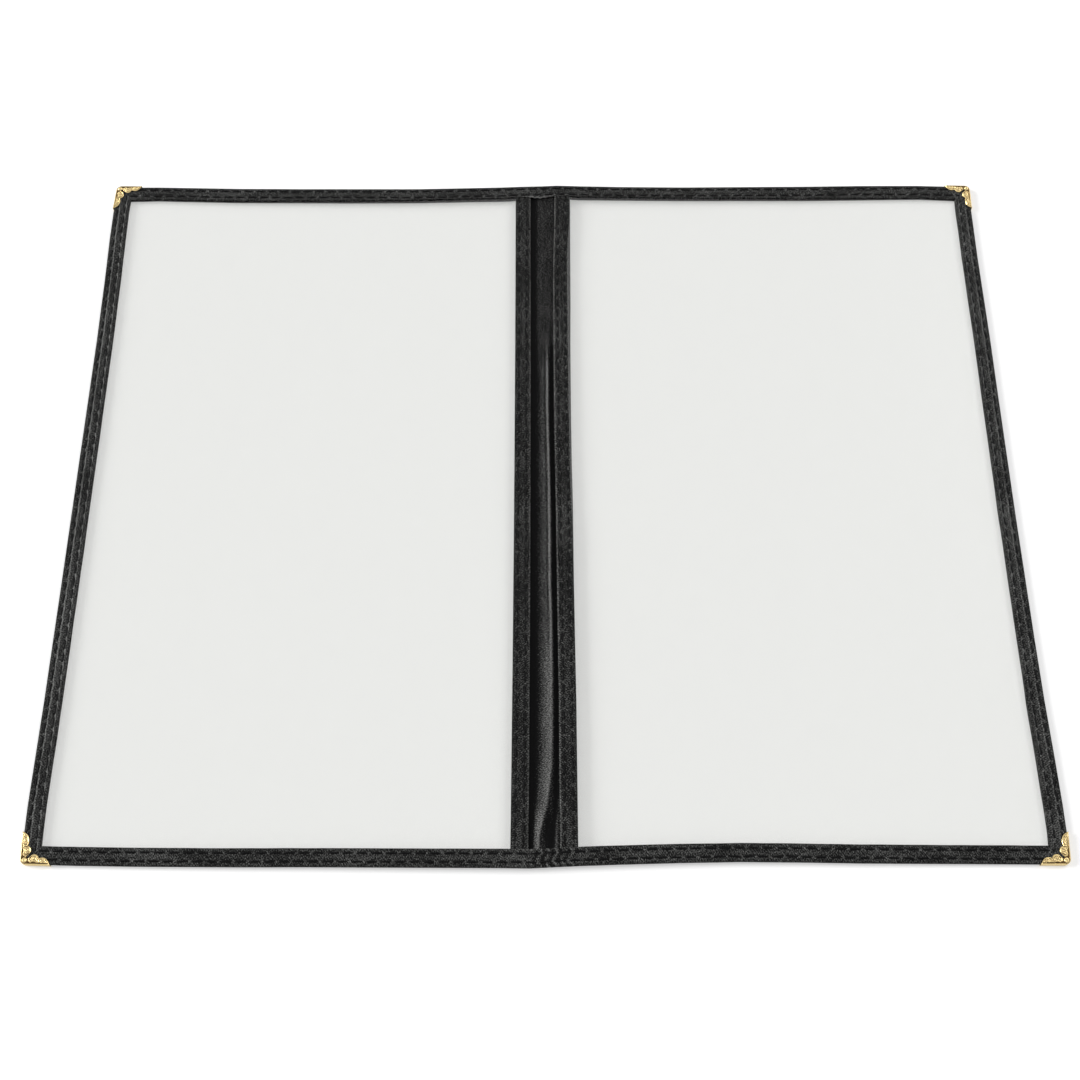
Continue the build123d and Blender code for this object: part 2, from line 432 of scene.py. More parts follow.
def vinyl_material(name):
    """Clear flexible vinyl: it lets most light through and mirrors a little, over faint waves."""
    material, tree, output = new_material(name)
    place = object_place(tree)
    normal = bumped(tree, spots(tree, place, 22.0, detail=1.0), 0.35, 0.6)
    dull = ranged(tree, spots(tree, place, 160.0, detail=3.0), 0.1, 0.2)
    facing = add_node(tree, "LayerWeight", Blend=0.5, Normal=normal).outputs["Facing"]
    mirror = maths(tree, "ADD", maths(tree, "MULTIPLY", maths(tree, "POWER", facing, 5.0), 0.6), 0.034)
    clear = add_node(tree, "BsdfTransparent", Color=(*colours().vinyl, 1))
    gloss = add_node(tree, "BsdfGlossy", Color=(1, 1, 1, 1), Roughness=dull, Normal=normal)
    both = add_node(tree, "MixShader", n0=mirror, n1=clear.outputs["BSDF"], n2=gloss.outputs["BSDF"])
    tree.links.new(both.outputs["Shader"], output.inputs["Surface"])
    return material


def brass_material(name):
    """Bright stamped brass, tarnished dark in the hollows of its relief and pale on its crests, with a
    painted highlight on its walls.
    """
    material, tree, output = new_material(name)
    place = object_place(tree)
    relief = add_node(tree, "Attribute", {"attribute_name": "relief"}).outputs["Fac"]
    mottle = spots(tree, place, 900.0, detail=4.0)
    scratches = spots(tree, place, 5000.0)
    veins = spots(tree, place, 2300.0, detail=3.0, roughness=0.7)
    shade = weighed_sum(tree, relief, (mottle, 0.2), (veins, 0.7))
    ramp = colour_between(tree, shade, colours().brass_dark, colours().brass)
    ramp.color_ramp.elements[0].position = 0.57
    ramp.color_ramp.elements[1].position = 0.97
    bumps = weighed_sum(tree, veins, (scratches, 0.15))
    dull = ranged(tree, mottle, 0.14, 0.34)
    finish_surface(tree, output, ramp, dull, bumped(tree, bumps, 0.5, 0.12), Metallic=1.0)
    return material


FINISHES = {
    "black_leatherette": "tape_leatherette",
    "black_spine_leatherette": "spine_leatherette",
    "black_thread": "waxed_thread",
    "clear_vinyl": "window_vinyl",
    "brass": "stamped_brass",
}


def material_for(slot):
    """The material of this slot, made when it is first asked for."""
    name = FINISHES[slot]
    made = bpy.data.materials.get(name)
    if made:
        return made
    tints = colours()
    if slot == "black_leatherette":
        return leatherette(name, tints.tape, tints.tape_crest, streaked=0.5, roughness=0.46)
    if slot == "black_spine_leatherette":
        return leatherette(name, tints.spine, tints.spine_crest, streaked=0.3, roughness=0.42)
    makers = {"black_thread": thread_material, "clear_vinyl": vinyl_material, "brass": brass_material}
    return makers[slot](name)


# Tapes

# Of a tape's outer and inner row: its shift as a share of the pitch, and how far aside its painted highlight
# line runs
ROW_PHASES = (0.0, 0.37)
ROW_HIGHLIGHTS = (1.05, 0.45)

# How far from a row its stitches shape the cloth
ROW_REACH = 3.2

# Roundness of a tape's fold, the gap at a mitre, and how much is cut off the tape's outer corner
FOLD_REACH = 0.95
MITRE_GAP = 0.12
CORNER_CUT = 1.9

# Mesh of a tape: its column width, the rows of its upper half, its fold and its lower half
COLUMN_STEP = 0.68
UPPER_ROWS = 24
FOLD_ROWS = 7
LOWER_ROWS = 7

# Width of cloth that a row of the mesh takes in the grain's pattern
GRAIN_ROW = 0.32


def row_places():
    """Distances of a tape's two rows of stitches from its fold, the outer row first."""
    inner = tape_width - size_mm("row_inset")
    return inner - size_mm("row_spacing"), inner


def sewn(along, across):
    """How stitches shape a tape here: a height to add, and how far this is under, beside and between them,
    for painted shade and highlights.
    """
    pitch = size_mm("stitch_pitch")
    reach = size_mm("stitch_length") / pitch / 2
    pull = size_mm("pucker")
    height = 0.0
    under = 0.0
    beside = 0.0
    between = 0.0
    for row, phase, crest in zip(row_places(), ROW_PHASES, ROW_HIGHLIGHTS):
        aside = across - row
        if abs(aside) > ROW_REACH:
            continue
        turn = (along / pitch - phase + 0.5) % 1 - 0.5
        tension = pull * (1 + 0.45 * soft_noise(along * 0.11, row, 3.1))
        height -= 0.65 * tension * hump(aside, 0.62)
        height -= 0.85 * tension * hump(abs(turn) - reach, 0.085) * hump(aside, 0.6)
        height += 0.4 * tension * hump(abs(turn) - 0.5, 0.13) * hump(aside, 1.1)
        # Painted shade under the thread
        under += hump(aside, 0.4) * fade(reach - 0.05, reach + 0.03, abs(turn))
        # A painted highlight line beside the row, where its puckers would catch the light
        beside += hump(aside - crest - 0.14 * math.sin(math.tau * turn), 0.23)
        # Painted highlight flecks on the puckers between stitches
        between += hump(aside, 0.42) * hump(abs(turn) - 0.5, 0.13)
    return height, under, beside, between


def tape_wander(along, across, seed):
    """Uneven thickness and small wrinkles of a tape, as a height to add."""
    broad = 0.06 * soft_noise(along * 0.05, across * 0.1, seed)
    fine = 0.035 * soft_noise(along * 0.42, across * 0.5, seed + 9)
    return broad + fine


def tape_section(width):
    """Places round a folded tape, upper cut edge to lower one: distance from the fold, share of height."""
    flat = width - FOLD_REACH
    upper_run = [(width - flat * i / UPPER_ROWS, 1.0) for i in range(UPPER_ROWS)]
    turns = [math.pi * i / FOLD_ROWS for i in range(FOLD_ROWS + 1)]
    fold = [(FOLD_REACH * (1 - math.sin(turn)), (1 + math.cos(turn)) / 2) for turn in turns]
    lower_run = [(FOLD_REACH + flat * i / LOWER_ROWS, 0.0) for i in range(1, LOWER_ROWS + 1)]
    return upper_run + fold + lower_run


def tape_mesh(half_length, heights, lift, to_cover, width, tone_and_painted_light, mitred=True):
    """A folded tape. Heights gives its foot and top, lift adds to its top, to_cover lays it on the cover.

    Its tone list says how much lighter or darker the cloth is painted: all over; under its stitches, a
    painted shade;
    beside and between them, painted highlights; along its fold, a painted highlight; and along its cut edge
    over the spine.
    """
    columns = round(2 * half_length / COLUMN_STEP)
    section = tape_section(tape_width)
    all_over, *by_stitches, at_fold, at_lip = tone_and_painted_light

    def place(column, row):
        nominal, rise = section[row]
        share = 2 * column / columns - 1
        mitre = max(nominal + MITRE_GAP, CORNER_CUT - nominal) if mitred else 0
        limit = half_length - mitre
        along = share * limit
        across = nominal
        if nominal > FOLD_REACH:
            widened = (nominal - FOLD_REACH) * (width(along) - FOLD_REACH)
            across = FOLD_REACH + widened / (tape_width - FOLD_REACH)
        foot, top = heights(along)
        height = foot + (top - foot) * rise
        dip, *near_thread = sewn(along, across)
        raised = lift(along, across)
        # Tone, with painted shade under the stitches and painted highlights beside and between them
        scuff_and_painted_light = all_over + sum(part * amount for part, amount in zip(by_stitches, near_thread))
        # Lighter on the wrinkles' crests, partly scuffing and partly painted highlight, and a painted
        # highlight along the fold
        scuff_and_painted_light += 4.0 * raised + at_fold * hump(nominal - 0.35, 0.42)
        # Lighter along the cut edge where it crosses the spine
        scuff_and_painted_light += at_lip * hump(nominal - tape_width, 0.45) * hump(along + 2, 9)
        height += dip * (2 * rise - 1)
        height += raised * rise
        if mitred:
            height -= 0.1 * hump(limit - abs(along), 0.5) * (2 * rise - 1)
        return Vector(to_cover(along, across, height)), Vector((along, row * GRAIN_ROW, scuff_and_painted_light * rise))

    return grid_mesh(columns, len(section) - 1, place)


def end_top(along):
    """Height of an end tape's top, from the spine's fold line out to the corners, with its bends smoothed."""
    around = (-1.6, -0.8, 0.0, 0.8, 1.6)
    return sum(line_through(END_TOP, abs(along + shift)) for shift in around) / len(around)


def end_heights(along):
    """Foot and top of an end tape."""
    return tape_foot_z, end_top(along)


def side_heights(along):
    """Foot and top of a side tape."""
    return tape_foot_z, edge_top_z


def pocket_heights(along):
    """Foot and top of a pocket tape, pressed flat where its ends tuck under the end tapes."""
    pressed = ease(end_low.y - 3.0, end_low.y + 0.6, abs(along))
    return pocket_low.z, pocket_high.z - 0.08 - 0.36 * pressed


def end_lift(end):
    """Wrinkles of the end tape at this end, gathered where it crosses the limp spine."""
    strength = 0.1 if end > 0 else 0.36
    centre = -1.0 if end > 0 else 2.5

    def lift(along, across):
        gathered = strength * hump(along - centre, 10.0)
        folds = math.sin(along * 1.75 + 1.3 * math.sin(across * 0.9 + end))
        folds *= 0.45 + 0.5 * soft_noise(along * 0.4, across * 0.25, 5)
        creases = math.sin(along * 4.3 + 1.1 * math.sin(across * 1.3))
        creases *= 0.45 * soft_noise(along * 0.3, across * 0.5, 8)
        return tape_wander(along, across, 11 + end) + gathered * (folds + creases)

    return lift


# Spare width of the top tape along it: less where it has more layers to wrap
TOP_SPARE = (
    (-235, 0.9), (-212, 0.2), (-168, 0.15), (-135, -0.05), (-100, -0.15), (-68, -0.5), (-41, -0.7),
    (-19, -0.6), (-14, -1.1), (13, -1.1), (18, -0.85), (42, -0.95), (75, -0.7), (108, -0.3), (141, 0.1),
    (174, 0.35), (207, 0.1), (235, 0.9),
)


def end_width(end):
    """Width of the end tape at this end, drawn in over the spine with a wrinkled edge."""

    def width(along):
        edge = tape_width + 0.1 * soft_noise(along * 0.07, 0, 20 + end)
        if end < 0:
            return edge + 0.1 - 0.2 * hump(along, 14) + 0.15 * hump(along, 8) * math.sin(along * 1.9)
        lip = 1.2 + 0.35 * math.sin(along * 2.1) + 0.14 * math.sin(along * 5.3)
        return edge + line_through(TOP_SPARE, along) + lip * hump(along + 2.5, 5.5)

    return width


def side_width(side):
    """Width of a side tape with its slightly uneven cut edge; the right one is wider near its foot."""
    spare = 0.35 if side > 0 else 0.0

    def width(along):
        edge = tape_width + 0.2 + 0.15 * soft_noise(along * 0.05, 0, 30 + side)
        return edge + spare * fade(-120, -95, along)

    return width


def pocket_width(side):
    """Width of a pocket tape; the right one is drawn in along its upper half."""
    drawn = 0.85 if side > 0 else 0.0
    return lambda along: tape_width - drawn * (ease(-30, 5, along) - ease(140, 170, along))


def end_place(end):
    """Lays an end tape's place on the cover."""
    return lambda along, across, height: (along, end * (half_height - across), height)


def side_place(side):
    """Lays a side tape's place on the cover."""
    return lambda along, across, height: (side * (half_width - across), along, height)


def pocket_place(side):
    """Lays a pocket tape's place on the cover, where that tape has shifted to."""

    def lay(along, across, height):
        return side * (pocket_low.x + across) + pocket_drift(side, along), along, height

    return lay


def side_lift(side):
    """The wandering height of a side tape."""
    return lambda along, across: tape_wander(along, across, 40 + side)


def pocket_lift(side):
    """The wandering height of a pocket tape."""
    return lambda along, across: tape_wander(along, across, 50 + side)


def finish_piece(bm, name, slot, kind, side=None, thickness=0.0, looks=0):
    """An object for a kind of node: riding on its side's page, or fixed in place over both pages."""
    piece = add_piece(bm, name, material_for(slot), thickness, looks)
    if side:
        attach(piece, f"{side}_page")
        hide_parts(f"{side}_{kind}")
    else:
        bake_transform(piece)
        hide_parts(f"left_{kind}", f"right_{kind}")
    return piece


def finish_tape(bm, name, kind, side=None):
    """The object of a tape."""
    finish_piece(bm, name, "black_leatherette", kind, side, sizes().tape_thickness, 1)


class MENUCOVER_OT_side_tapes(bpy.types.Operator):
    """Fold a sewn tape over each outer edge"""

    bl_idname = "menucover.side_tapes"
    bl_label = "Side tapes"

    def execute(self, context):
        for name, side in SIDES.items():
            # Tone, painted shade under the stitches and painted highlights beside and between them; the left
            # tape's highlights are brighter, on the stronger lamp's side
            tone_and_painted_light = (0.0, -0.6, 1.6 if side < 0 else 0.9, 0.35, 0.0, 0.0)
            bm = tape_mesh(
                half_height, side_heights, side_lift(side), side_place(side), side_width(side), tone_and_painted_light,
            )
            finish_tape(bm, f"{name}_side_tape", "side_binding", name)
        return {"FINISHED"}


class MENUCOVER_OT_end_tapes(bpy.types.Operator):
    """Fold a sewn tape over the top and bottom edges, in one run across the spine"""

    bl_idname = "menucover.end_tapes"
    bl_label = "End tapes"

    def execute(self, context):
        for name, end in ENDS.items():
            # Tone, painted shade under the stitches, painted highlight flecks between them and a lighter cut
            # edge over the spine
            tone_and_painted_light = (0.0, -1.4, 0.0, 0.45, 0.0, 1.8 if end > 0 else 0.5)
            bm = tape_mesh(half_width, end_heights, end_lift(end), end_place(end), end_width(end), tone_and_painted_light)
            finish_tape(bm, f"{name}_end_tape", f"{name}_binding")
        return {"FINISHED"}


class MENUCOVER_OT_pocket_tapes(bpy.types.Operator):
    """Fold a sewn tape over each pocket's free edge, beside the spine"""

    bl_idname = "menucover.pocket_tapes"
    bl_label = "Pocket tapes"

    def execute(self, context):
        half_run = end_low.y + 2.2
        for name, side in SIDES.items():
            # Tone, painted shade under the stitches, and painted highlights beside and between them and along
            # the fold
            tone_and_painted_light = (-0.18, -0.6, 0.12, 0.5 if side > 0 else 0.2, 0.75, 0.0)
            bm = tape_mesh(
                half_run, pocket_heights, pocket_lift(side), pocket_place(side), pocket_width(side), tone_and_painted_light,
                mitred=False,
            )
            finish_tape(bm, f"{name}_pocket_tape", "pocket_binding", name)
        return {"FINISHED"}


# Spine

# The spine's long fold, the crease beside it, the fold's height and the pull on the right edge, up the page
RIDGE_LINE = (
    (-180, -3.6), (-172, -3.0), (-158, 0.7), (-142, 2.4), (-125, 2.95), (-90, 2.95), (-70, 2.8), (-50, 2.3),
    (4, 2.1), (44, 1.3), (180, 0.9),
)
CREASE_LINE = (
    (-180, 3.0), (-165, 4.4), (-140, 5.1), (-90, 5.2), (-55, 4.4), (-20, 4.4), (4, 3.9), (44, 3.3),
    (84, 3.5), (180, 3.8),
)
RIDGE_HEIGHT = ((-180, 0.8), (-160, 1.4), (-60, 1.45), (60, 1.25), (95, 0.7), (140, 0.55), (180, 0.35))
SPINE_PULL = (
    (-60, 0), (-8, -0.08), (15, -0.45), (40, -0.62), (86, -0.6), (110, -0.3), (150, -0.15), (170, 0),
)

# Where the long fold fades out, up the page
FOLD_FADES = (62, 98)

# Mesh of a spine layer
SPINE_COLUMNS = 58
SPINE_ROWS = 340


def facing_height(x, y):
    """Height of the inner spine layer: one long soft fold, with a crease beside the right pocket tape."""
    folded = fade(*FOLD_FADES, y)
    from_ridge = x - line_through(RIDGE_LINE, y)
    left_width = 3.4 - 0.7 * folded
    right_width = 3.4 - 2.2 * folded
    fold = hump(from_ridge, left_width if from_ridge < 0 else right_width)
    height = line_through(RIDGE_HEIGHT, y) * fold + 0.36 * folded * hump(from_ridge, 0.55)
    height -= 0.95 * folded * hump(x - line_through(CREASE_LINE, y), 0.8)
    height += 0.8 * hump(x - 5.2, 1.1) * fade(-166, -158, y)
    height -= 0.28 * hump(x + 5.2, 1.6)
    inside = ease(-7.6, -5.2, x) - ease(4.9, 6.6, x)
    ends = 1 - 0.75 * ease(172, 181, abs(y))
    waves = 0.1 * soft_noise(x * 0.22, y * 0.035, 61) + 0.035 * soft_noise(x * 0.6, y * 0.2, 62)
    return facing_high.z + max(-0.28, height) * inside * ends + waves * inside


def ridge_painted_light(x, y):
    """How much lighter or darker the inner layer is painted: painted highlights on its fold and margin,
    painted shade in its hollows.
    """
    folded = fade(*FOLD_FADES, y)
    low_end = fade(-168, -160, y)
    broad = fade(-105, -55, y)
    from_ridge = x - line_through(RIDGE_LINE, y)
    # Painted highlight over the fold's broad roll
    roll = (1 - broad) * 0.58 * ease(-4.0, 2.2, x)
    roll += broad * 0.9 * ease(-7.0, -0.8, from_ridge)
    roll *= fade(0.2, 1.1, from_ridge)
    # Painted highlight on the fold's crest, with painted shade just left of it
    line = (1.3 - 0.85 * broad) * hump(from_ridge - 0.05, 0.5)
    line -= 0.75 * (1 - broad) * hump(from_ridge + 1.3, 0.45)
    # Painted shade beside the left pocket tape, where its shadow falls
    margin = -3.2 + 1.7 * folded - 2.6 * fade(-168, -140, y)
    painted_light_and_shade = folded * (roll + line) - 1.4 * fade(-6.3, margin, x)
    # Painted shade in the crease and beside the bump at the lower end
    painted_light_and_shade -= 1.5 * folded * hump(x - line_through(CREASE_LINE, y), 0.85) + 1.2 * low_end * hump(x - 1.6, 1.8)
    # Painted highlights on the bump at the lower end
    painted_light_and_shade += low_end * (0.7 * hump(x - 5.2, 0.9) + 0.2 * hump(x + 3.4, 1.8))
    # A painted sheen on the right margin, beyond the right pocket tape
    return painted_light_and_shade + 0.9 * ease(11.6, 12.4, x)


def backing_height(x, y):
    """Height of the outer spine layer's underside, drawn in along its seams."""
    across = abs(x) - pocket_low.x
    drawn = -sewn(y, across)[0] if across > 0 else 0.0
    return backing_low.z + 0.9 * drawn + 0.09 * soft_noise(x * 0.12, y * 0.03, 71)


def spine_pull(share, y):
    """How far both layers' right edge is drawn in along the upper half."""
    return line_through(SPINE_PULL, y) * ease(0.45, 1, share)


def layer_place(height, painted_light_and_shade):
    """Lays a spine layer by its height and its painted light and shade."""

    def place(column, row):
        share = 2 * column / SPINE_COLUMNS - 1
        y = front_high.y * (2 * row / SPINE_ROWS - 1)
        x = spine_edge_x * share + spine_pull(share, y)
        return Vector((x, y, height(x, y))), Vector((y, x, painted_light_and_shade(x, y)))

    return place


class MENUCOVER_OT_spine_layers(bpy.types.Operator):
    """Lay the limp inner and outer spine layers, each in one piece across the fold line"""

    bl_idname = "menucover.spine_layers"
    bl_label = "Spine layers"

    def execute(self, context):
        layers = (
            ("inner", "spine_facing", facing_height, ridge_painted_light, 1),
            ("outer", "spine_backing", backing_height, lambda x, y: 0, -1),
        )
        for name, kind, height, painted_light_and_shade, looks in layers:
            piece = finish_piece(
                grid_mesh(SPINE_COLUMNS, SPINE_ROWS, layer_place(height, painted_light_and_shade)), f"spine_{name}_layer",
                "black_spine_leatherette", kind, thickness=sizes().tape_thickness, looks=looks,
            )
        return {"FINISHED"}


# Clear sheets


# Mesh of a clear sheet
SHEET_COLUMNS = 72
SHEET_ROWS = 96


def sheet_path(low, high, level_to):
    """Height of a clear sheet out from the spine: level, down a slope, and level again along its edge."""
    edge_z = low.z + size_mm("sheet_thickness")
    return (low.x, high.z), (level_to, high.z), (slope_end_x, edge_z), (high.x, edge_z)


def sheet_mesh(side, path, seed, drifts):
    """A clear sheet that follows the path's heights across the page, with faint waves inside its window."""
    first, last = path[0][0], path[-1][0]

    def place(column, row):
        x = first + (last - first) * column / SHEET_COLUMNS
        y = front_high.y * (2 * row / SHEET_ROWS - 1)
        window = ease(pocket_high.x, pocket_high.x + 30, x)
        window *= fade(slope_end_x - 35, slope_end_x, x)
        window *= fade(end_low.y - 35, end_low.y - 4, abs(y))
        wave = soft_noise(side * x * 0.012, y * 0.009, seed)
        wave += 0.4 * soft_noise(side * x * 0.03, y * 0.02, seed + 4)
        height = line_through(path, x) + size_mm("ripple") * window * wave
        drift = pocket_drift(side, y) * fade(first, 70, x) if drifts else 0
        return Vector((side * x + drift, y, height)), Vector((x, y, 0))

    return grid_mesh(SHEET_COLUMNS, SHEET_ROWS, place)


class MENUCOVER_OT_clear_sheets(bpy.types.Operator):
    """Lay the front and back clear sheets of both pages"""

    bl_idname = "menucover.clear_sheets"
    bl_label = "Clear sheets"

    def execute(self, context):
        layers = (
            ("front", sheet_path(front_low, front_high, pocket_high.x), 81),
            ("back", sheet_path(back_low, back_high, spine_edge_x), 41),
        )
        for name, side in SIDES.items():
            for kind, path, seed in layers:
                piece = finish_piece(
                    sheet_mesh(side, path, seed, kind == "front"), f"{name}_{kind}_vinyl", "clear_vinyl",
                    f"{kind}_sheet", name, sizes().sheet_thickness, 1,
                )
        return {"FINISHED"}


# Thread

# A stitch: length of one twist, how flat it is pressed and how deep its ends dive
TWIST_LENGTH = 2.4
PRESSED = 0.72
END_DIVE = 0.34

# How high a stitch's middle lies over the cloth, and how far it follows the cloth's pucker
THREAD_LIFT = 0.1
PULL_SHARE = 0.75


def stitch_mesh():
    """One stitch along X about the origin: twisted thread that dives into its needle holes."""
    long = size_mm("stitch_length")
    width = size_mm("thread_width")
    bm = bmesh.new()
    flat = bm.verts.layers.float_vector.new("flat_place")
    bmesh.ops.create_cone(bm, cap_ends=True, segments=6, radius1=width / 2, radius2=width / 2, depth=long)
    long_edges = [edge for edge in bm.edges if edge.calc_length() > long / 2]
    bmesh.ops.subdivide_edges(bm, edges=long_edges, cuts=6, use_grid_fill=True)
    bmesh.ops.rotate(bm, verts=bm.verts, cent=(0, 0, 0), matrix=Matrix.Rotation(math.radians(90), 3, "Y"))
    for vert in bm.verts:
        share = abs(vert.co.x) / (long / 2)
        twist = vert.co.x * math.tau / TWIST_LENGTH
        squash = 1 - 0.2 * math.cos(2 * (math.atan2(vert.co.z, vert.co.y) - twist))
        vert.co.y *= squash * (1 - 0.3 * share**4)
        vert.co.z *= PRESSED * squash
        vert.co.z -= END_DIVE * share**5
        vert[flat] = vert.co
    return finished_mesh(bm, "stitch")


def seam_bmesh():
    """An empty mesh for stitches, with their place on the thread."""
    bm = bmesh.new()
    bm.verts.layers.float_vector.new("flat_place")
    return bm


def centres_within(limit, phase):
    """Middles of the stitches of a row that reaches this far each way."""
    pitch = size_mm("stitch_pitch")
    reach = limit - size_mm("stitch_length") / 2
    first = math.ceil(-reach / pitch - phase)
    last = math.floor(reach / pitch - phase)
    return [(number + phase) * pitch for number in range(first, last + 1)]


def sew_row(bm, stitch, centres, lay):
    """Adds a stitch at each centre, where lay puts its along, aside and up distances."""
    for centre in centres:
        before = len(bm.verts)
        bm.from_mesh(stitch)
        bm.verts.ensure_lookup_table()
        for vert in bm.verts[before:]:
            vert.co = lay(centre, vert.co.x, vert.co.y, vert.co.z)


def tape_seam(stitch, half_runs, heights, lift, to_cover, faces=(1, -1)):
    """Sews both rows of a tape, on its top, its underside or both."""
    bm = seam_bmesh()
    for row, phase, half_run in zip(row_places(), ROW_PHASES, half_runs):
        for face in faces:

            def lay(centre, along, aside, up):
                place = centre + along
                foot, top = heights(place)
                surface = top + lift(place, row) if face > 0 else foot
                height = surface + face * (PULL_SHARE * sewn(place, row)[0] + up + THREAD_LIFT)
                sway = 0.05 * soft_noise(centre, row, 77)
                return Vector(to_cover(place, row + aside + sway, height))

            sew_row(bm, stitch, centres_within(half_run, phase), lay)
    return bm


def spine_seam(stitch, side, half_run):
    """Sews both rows of a pocket tape's seam where they come out under the spine."""
    bm = seam_bmesh()
    for row, phase in zip(row_places(), ROW_PHASES):
        x = side * (pocket_low.x + row)

        def lay(centre, along, aside, up):
            y = centre + along
            return Vector((x + aside, y, backing_height(x, y) - up - THREAD_LIFT))

        sew_row(bm, stitch, centres_within(half_run, phase), lay)
    return bm


class MENUCOVER_OT_seams(bpy.types.Operator):
    """Sew every tape and the spine with two rows of stitches"""

    bl_idname = "menucover.seams"
    bl_label = "Seams"

    def execute(self, context):
        stitch = stitch_mesh()
        end_runs = (slope_end_x, side_low.x + 1.2)
        side_runs = (guard_low.y - 0.6, end_low.y + 1.2)
        run = end_low.y - 1.5
        for name, end in ENDS.items():
            bm = tape_seam(stitch, end_runs, end_heights, end_lift(end), end_place(end))
            finish_piece(bm, f"{name}_end_thread", "black_thread", f"{name}_seam")
        for name, side in SIDES.items():
            seams = {
                "side": tape_seam(stitch, side_runs, side_heights, side_lift(side), side_place(side)),
                "pocket": tape_seam(
                    stitch, (run, run), pocket_heights, pocket_lift(side), pocket_place(side), faces=(1,),
                ),
                "spine": spine_seam(stitch, side, run),
            }
            for kind, bm in seams.items():
                finish_piece(bm, f"{name}_{kind}_thread", "black_thread", f"{kind}_seam", name)
        bpy.data.meshes.remove(stitch)
        return {"FINISHED"}


# Brass corners

# Rounding of a guard's corner and of its edges
CORNER_ROUND = 2.9
EDGE_ROUND = 0.5

# Inner outline of an arm, from the diagonal to its lobe, and the middle of the round boss
SLIT_ROOT = (3.2, 3.2)
SLIT_SHOULDER = (3.62, 2.78)
SLIT_MOUTH = (4.9, 4.05)
HUMP_PEAK = (6.4, 4.9)
NOTCH = (8.5, 3.1)
LOBE_PEAK = (11.2, 3.5)
BOSS = (2.1, 2.1)


def on_arc(start, via, end, share):
    """A point on the arc from start through via to end."""
    (ax, ay), (bx, by), (cx, cy) = start, via, end
    double = 2 * (ax * (by - cy) + bx * (cy - ay) + cx * (ay - by))
    a, b, c = ax * ax + ay * ay, bx * bx + by * by, cx * cx + cy * cy
    mx = (a * (by - cy) + b * (cy - ay) + c * (ay - by)) / double
    my = (a * (cx - bx) + b * (ax - cx) + c * (bx - ax)) / double
    first = math.atan2(ay - my, ax - mx)
    last = math.atan2(cy - my, cx - mx)
    while last > first:
        last -= math.tau
    turn = first + (last - first) * share
    radius = math.hypot(ax - mx, ay - my)
    return mx + radius * math.cos(turn), my + radius * math.sin(turn)


def on_line(start, end, share):
    """A point on the line from start to end."""
    return start[0] + (end[0] - start[0]) * share, start[1] + (end[1] - start[1]) * share


# Stretches of one arm: columns, its inner outline, and the outer edge beside it
ARM_STRETCHES = (
    (5, lambda share: on_line(SLIT_ROOT, SLIT_SHOULDER, share), (None, CORNER_ROUND)),
    (10, lambda share: on_line(SLIT_SHOULDER, SLIT_MOUTH, share), (CORNER_ROUND, 3.7)),
    (26, lambda share: on_arc(SLIT_MOUTH, HUMP_PEAK, NOTCH, share), (3.7, 8.3)),
    (36, lambda share: on_arc(NOTCH, LOBE_PEAK, (guard_arm - 0.02, 0.12), share), (8.3, guard_arm)),
)
ARM_COLUMNS = sum(columns for columns, _, _ in ARM_STRETCHES)


def outer_edge(span, share):
    """A place on an arm's outer edge and the direction in from it."""
    start, end = span
    if start is None:
        turn = math.radians(225 + 45 * share)
        inward = Vector((-math.cos(turn), -math.sin(turn)))
        return Vector((CORNER_ROUND, CORNER_ROUND)) - inward * CORNER_ROUND, inward
    return Vector((start + (end - start) * share, 0)), Vector((0, 1))


def arm_column(column):
    """Inner outline point, outer edge point and inward direction of a column of an arm."""
    for columns, inner, span in ARM_STRETCHES:
        if column <= columns:
            edge, inward = outer_edge(span, column / columns)
            return Vector(inner(column / columns)), edge, inward
        column -= columns


def scroll(u, v, centre, radius, turns, hand):
    """A raised spiral about a centre, 0 to 1."""
    across, up = u - centre[0], v - centre[1]
    reach = math.hypot(across, up)
    turn = math.atan2(up, across) * hand
    ridge = 0.5 + 0.5 * math.cos(math.tau * (turns * reach / radius) - turn)
    return ridge * fade(0.75 * radius, radius, reach)


def leaf(u, v, foot, reach_from, reach_to, direction, spread, ribs):
    """Raised ribs that fan out from a foot, 0 to 1."""
    across, up = u - foot[0], v - foot[1]
    reach = math.hypot(across, up)
    turn = math.degrees(math.atan2(up, across)) - direction
    if abs(turn) > spread:
        return 0.0
    fan = 0.5 + 0.5 * math.cos(math.tau * ribs * turn / (2 * spread))
    fan *= ease(reach_from - 0.2, reach_from + 0.2, reach)
    return fan * fade(reach_to - 0.4, reach_to, reach)


# The groove along a guard's edge, where it is deep and elsewhere; the deep one also paints a dark reflection
# line
DEEP_GROOVE = 0.85
FAINT_GROOVE = 0.3


